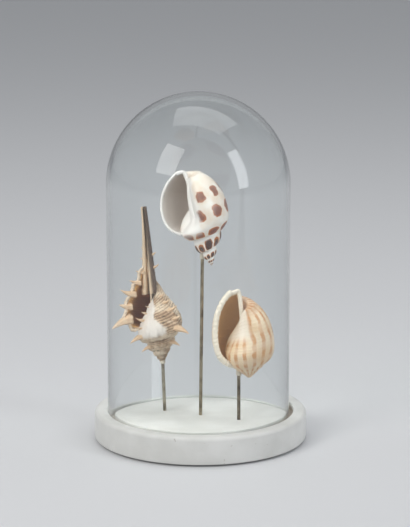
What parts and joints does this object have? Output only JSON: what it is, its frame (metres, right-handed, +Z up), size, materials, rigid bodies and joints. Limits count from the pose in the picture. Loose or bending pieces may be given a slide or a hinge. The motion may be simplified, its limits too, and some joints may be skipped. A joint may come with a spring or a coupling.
{
  "type": "seashell display case",
  "caption": "Glass dome standing in a ring groove of a round turned plinth, over spired seashells held up on thin metal stems; the dome lifts off.",
  "frame": {"origin": "centre of the felt's foot, on the surface that the case stands on", "axes": "+Z up along the dome, -Y towards the viewer, +X to the viewer's right"},
  "size_m": [0.14, 0.14, 0.2307],
  "materials": {
    "white_paint": "satin white paint",
    "grey_felt": "felt",
    "clear_glass": "clear blown glass",
    "stem_metal": "drawn, dulled",
    "putty": "epoxy putty",
    "murex_shell": "rough shell",
    "babylon_shell": "smooth spotted shell",
    "bonnet_shell": "smooth striped shell"
  },
  "bodies": {
    "stand": {"plinth": "white_paint", "felt_pad": "grey_felt", "murex_stem": "stem_metal", "babylon_stem": "stem_metal", "bonnet_stem": "stem_metal", "murex_putty": "putty", "babylon_putty": "putty", "bonnet_putty": "putty", "murex_shell": "murex_shell", "babylon_shell": "babylon_shell", "bonnet_shell": "bonnet_shell"},
    "dome": {"glass_dome": "clear_glass"}
  },
  "joints": [
    {"name": "dome_lift", "type": "slide", "parent": "stand", "child": "dome", "axis": [0, 0, 1], "range_m": [0, 0.18]}
  ]
}
